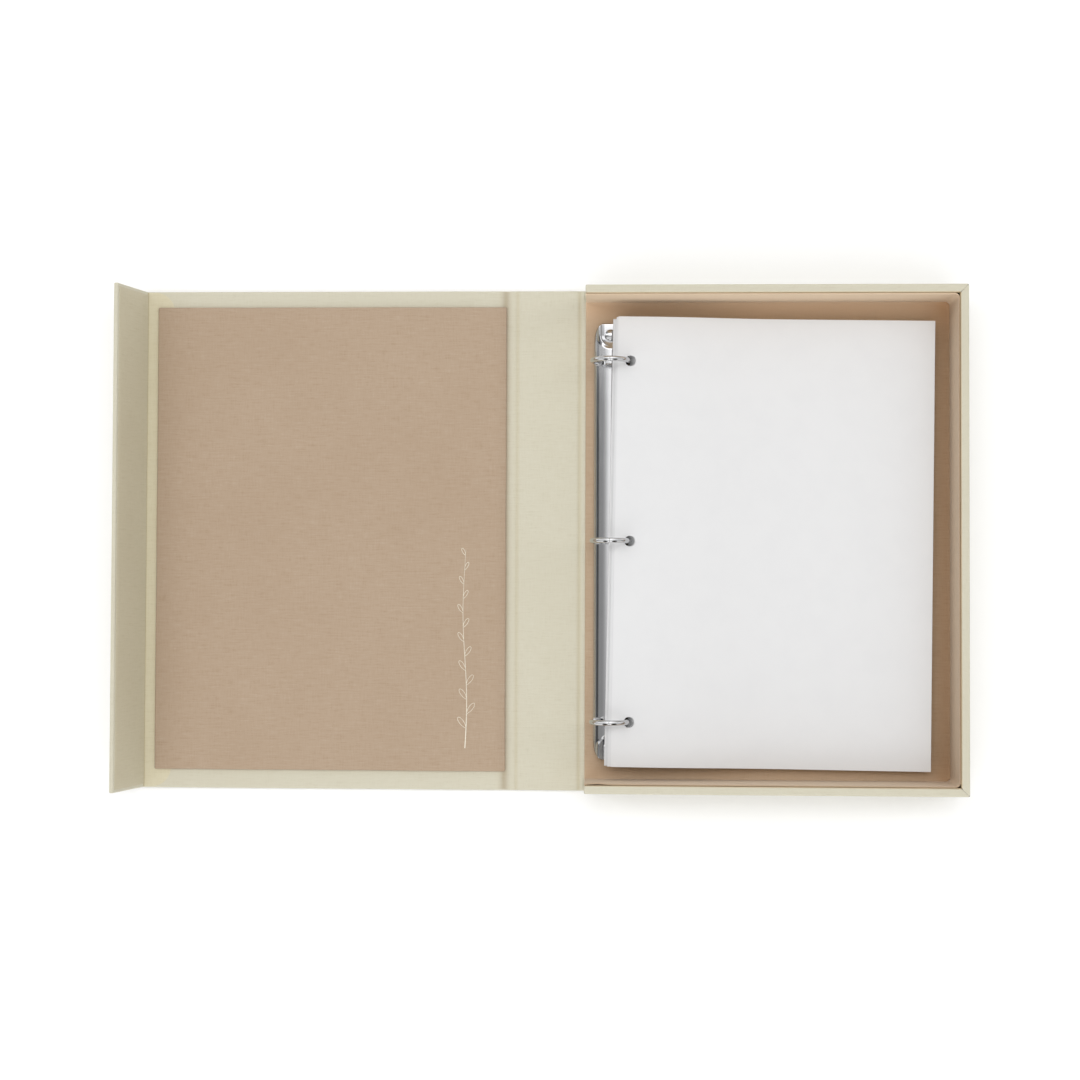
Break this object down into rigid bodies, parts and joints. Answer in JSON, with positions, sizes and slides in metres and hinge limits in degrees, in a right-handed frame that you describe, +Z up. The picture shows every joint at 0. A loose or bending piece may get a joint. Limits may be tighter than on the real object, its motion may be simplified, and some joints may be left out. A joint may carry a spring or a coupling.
{
  "type": "clamshell book box",
  "caption": "Cloth-covered clamshell box that folds shut like a book, with a closing flap, a linen-lined tray and a three-ring rail holding punched sheets.",
  "frame": {"origin": "centre of the opened box's footprint, on the surface it lies on", "axes": "+X from the flap across the cover and spine to the tray's fore edge, +Y to the head, +Z up out of the tray"},
  "size_m": [0.5044, 0.3028, 0.0395],
  "materials": {
    "cream_cloth": "fine ribbed cream book cloth",
    "tan_linen": "tan linen on thin card",
    "greyboard": "raw greyboard",
    "chrome": "bright chrome plate",
    "paper": "smooth white card stock",
    "magnet": "nickel-plated magnet disc"
  },
  "bodies": {
    "tray": {"base_board": "greyboard", "base_cloth": "cream_cloth", "spine_lining_base_lap": "cream_cloth", "head_wall_board": "greyboard", "tail_wall_board": "greyboard", "fore_edge_wall_board": "greyboard", "head_wall_cloth": "cream_cloth", "tail_wall_cloth": "cream_cloth", "fore_edge_wall_cloth": "cream_cloth", "wall_lining": "tan_linen", "floor_lining": "tan_linen", "wall_magnets": "magnet", "ring_rail": "chrome", "rail_posts": "chrome", "rail_rivets": "chrome", "lower_sheets": "paper", "middle_sheets": "paper"},
    "spine": {"spine_board": "greyboard", "spine_cloth": "cream_cloth", "spine_lining": "cream_cloth"},
    "cover": {"cover_board": "greyboard", "cover_cloth": "cream_cloth", "cover_panel_board": "greyboard", "cover_panel_linen": "tan_linen", "spine_lining_cover_lap": "cream_cloth", "flap_lining_cover_lap": "cream_cloth"},
    "flap": {"flap_board": "greyboard", "flap_cloth": "cream_cloth", "flap_lining": "cream_cloth", "flap_magnets": "magnet"},
    "right_ring_half": {"right_blade": "chrome", "right_half_rings": "chrome"},
    "left_ring_half": {"left_blade": "chrome", "left_half_rings": "chrome"},
    "turning_sheet": {"top_sheet": "paper"}
  },
  "joints": [
    {"name": "spine_hinge", "type": "hinge", "parent": "tray", "child": "spine", "pos_m": [0.02479, 0, 0.0012], "axis": [0, 1, 0], "range_deg": [0, 90]},
    {"name": "cover_hinge", "type": "hinge", "parent": "spine", "child": "cover", "pos_m": [-0.01351, 0, 0.0022], "axis": [0, 1, 0], "range_deg": [0, 90]},
    {"name": "flap_hinge", "type": "hinge", "parent": "cover", "child": "flap", "pos_m": [-0.24091, 0, 0.0022], "axis": [0, 1, 0], "range_deg": [-76, 14]},
    {"name": "ring_open_right", "type": "hinge", "parent": "tray", "child": "right_ring_half", "pos_m": [0.05131, 0, 0.005], "axis": [0, 1, 0], "range_deg": [0, 10]},
    {"name": "ring_open_left", "type": "hinge", "parent": "tray", "child": "left_ring_half", "pos_m": [0.03427, 0, 0.005], "axis": [0, 1, 0], "range_deg": [-10, 0]},
    {"name": "page_turn", "type": "hinge", "parent": "tray", "child": "turning_sheet", "pos_m": [0.04279, 0, 0.0175], "axis": [0, 1, 0], "range_deg": [-180, 0]}
  ],
  "couplings": [
    {"joint": "ring_open_left", "follows": "ring_open_right", "ratio": -1}
  ]
}
